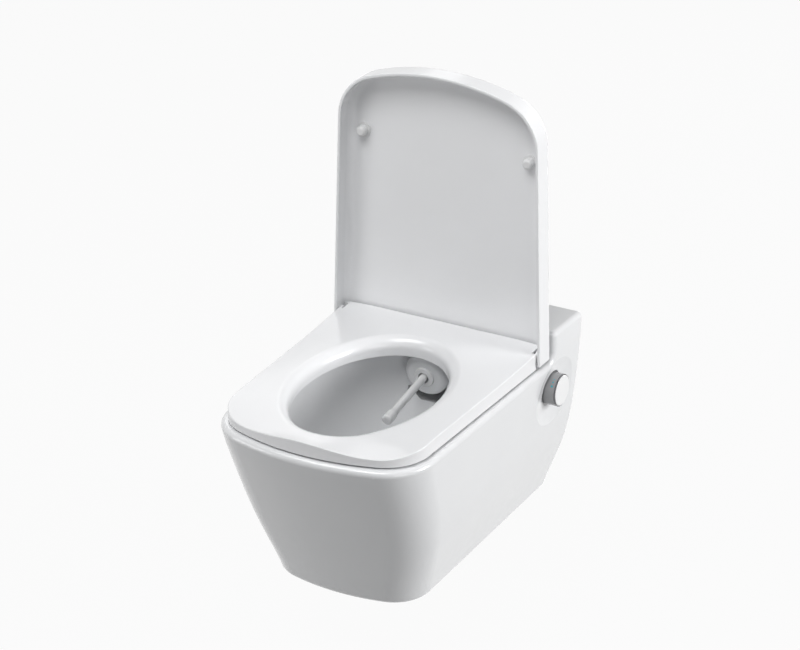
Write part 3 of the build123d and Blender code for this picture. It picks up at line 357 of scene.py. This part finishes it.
# Teal dots of falling size on the flow knob's barrel, each a shallow dome
def makeFlowMarks():
    marks = {
        "dots": [(56.0, 0.0019), (41.0, 0.0014), (30.0, 0.0010)],  # turn from top to front, and radius
        "along": 0.74, "rise": 0.00012, "edgePower": 4, "sides": 24, "rings": 4,
        "colour": (0.06, 0.42, 0.50, 1), "shade": (0.05, 0.36, 0.44, 1), "gloss": (0.3, 0.4), "bump": 0.01,
    }
    low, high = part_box("flow_knob")
    centreY, centreZ = (low.y + high.y) / 2, (low.z + high.z) / 2
    barrel = (high.y - low.y) / 2
    middle = low.x + marks["along"] * (high.x - low.x)
    shape = bmesh.new()
    for turn, size in marks["dots"]:
        rings = []
        for ring in range(marks["rings"] + 1):
            share = ring / marks["rings"]
            radius = barrel + marks["rise"] * (1 - share ** marks["edgePower"])
            points = []
            for side in range(marks["sides"]):
                a = 2 * pi * side / marks["sides"]
                around = radians(turn) + size * share * cos(a) / barrel
                place = (middle + size * share * sin(a), centreY - radius * sin(around),
                         centreZ + radius * cos(around))
                points.append(shape.verts.new(place))
                if ring == 0:
                    break
            rings.append(points)
        for ring in range(marks["rings"]):
            inner, outer = rings[ring], rings[ring + 1]
            for side in range(marks["sides"]):
                after = (side + 1) % marks["sides"]
                if ring == 0:
                    shape.faces.new((inner[0], outer[side], outer[after]))
                else:
                    shape.faces.new((inner[side], outer[side], outer[after], inner[after]))
    bmesh.ops.recalc_face_normals(shape, faces=shape.faces)
    mesh = bpy.data.meshes.new("flow_marks")
    shape.to_mesh(mesh)
    shape.free()
    for face in mesh.polygons:
        face.use_smooth = True
    paint = moulded("tealPaint", marks["colour"], marks["shade"], marks["gloss"], bump=marks["bump"])
    addPiece("flow_marks", mesh, paint, "flow_knob")


makeFlowMarks()
print("knob marks made")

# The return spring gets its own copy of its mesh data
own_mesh(nodes["return_spring"])

# Plain pale floor and white surround; the lamps are soft and stand out of the picture
stageSetup = {
    "floorHeight": -0.32, "floorSize": 30.0, "floorColour": (0.30, 0.30, 0.30, 1), "shadowShare": 0.05,
}
worldSetup = {"ambient": 0.04, "colour": (0.93, 0.96, 1.0, 1)}
lampSetups = [
    {"name": "keyLamp", "from": (0.2, -1.55, 2.6), "to": (0, -0.25, 0.1), "size": 1.3, "power": 30.0},
    {"name": "leftKeyLamp", "from": (-0.9, -1.4, 2.6), "to": (0, -0.25, 0.1), "size": 1.3, "power": 26.0},
    {"name": "sideLamp", "from": (2.8, 0.45, 0.9), "to": (0, -0.25, 0.1), "size": 1.2, "power": 64.0},
    {"name": "rightFillLamp", "from": (2.2, -1.8, 0.5), "to": (0, -0.25, 0.1), "size": 1.2, "power": 8.0},
    {"name": "leftFillLamp", "from": (-2.0, -2.0, 0.3), "to": (0, -0.25, 0.1), "size": 1.2, "power": 12.0},
    {"name": "backLamp", "from": (-1.5, 1.6, 2.0), "to": (0, -0.25, 0.1), "size": 1.6, "power": 8.0},
    {"name": "rearFillLamp", "from": (0.6, 2.8, 0.8), "to": (0, -0.1, 0.1), "size": 1.4, "power": 22.0},
]


def seenDirectly(graph):
    # True for camera, glossy and transmission rays
    path = graph.add("ShaderNodeLightPath").outputs
    return graph.math("MAXIMUM", path["Is Camera Ray"],
                      graph.math("MAXIMUM", path["Is Glossy Ray"], path["Is Transmission Ray"]))


def makeFloor(setup):
    half = setup["floorSize"] / 2
    square = ((-half, -half), (half, -half), (half, half), (-half, half))
    mesh = bpy.data.meshes.new("floor")
    mesh.from_pydata([(x, y, setup["floorHeight"]) for x, y in square], [], [(0, 1, 2, 3)])
    floor = bpy.data.objects.new("floor", mesh)
    bpy.context.scene.collection.objects.link(floor)
    material = bpy.data.materials.new("paleFloor")
    material.use_nodes = True
    graph = Graph(material.node_tree)
    material.node_tree.nodes.remove(material.node_tree.nodes["Principled BSDF"])
    diffuse = graph.add("ShaderNodeBsdfDiffuse")
    graph.feed(diffuse, "Color", setup["floorColour"])
    glow = graph.add("ShaderNodeEmission")
    mix = graph.add("ShaderNodeMixShader")
    graph.feed(mix, 0, graph.math("MULTIPLY", seenDirectly(graph), 1 - setup["shadowShare"]))
    graph.feed(mix, 1, diffuse.outputs[0])
    graph.feed(mix, 2, glow.outputs[0])
    graph.feed(material.node_tree.nodes["Material Output"], "Surface", mix.outputs[0])
    mesh.materials.append(material)


def makeWorld(setup):
    world = bpy.data.worlds.new("surround")
    world.use_nodes = True
    bpy.context.scene.world = world
    graph = Graph(world.node_tree)
    ambient = world.node_tree.nodes["Background"]
    graph.feed(ambient, "Color", setup["colour"])
    graph.feed(ambient, "Strength", setup["ambient"])
    white = graph.add("ShaderNodeBackground")
    graph.feed(white, "Color", (1, 1, 1, 1))
    mix = graph.add("ShaderNodeMixShader")
    graph.feed(mix, 0, seenDirectly(graph))
    graph.feed(mix, 1, ambient.outputs[0])
    graph.feed(mix, 2, white.outputs[0])
    graph.feed(world.node_tree.nodes["World Output"], "Surface", mix.outputs[0])


def makeLamp(setup):
    data = bpy.data.lights.new(setup["name"], "AREA")
    data.size = setup["size"]
    data.energy = setup["power"]
    lamp = bpy.data.objects.new(setup["name"], data)
    bpy.context.scene.collection.objects.link(lamp)
    lamp.location = setup["from"]
    lamp.rotation_euler = (Vector(setup["to"]) - Vector(setup["from"])).to_track_quat("-Z", "Y").to_euler()
    lamp.visible_camera = False


makeFloor(stageSetup)
makeWorld(worldSetup)
for lampSetup in lampSetups:
    makeLamp(lampSetup)
bpy.context.scene.view_settings.view_transform = "Standard"
print("floor, surround and lamps made")
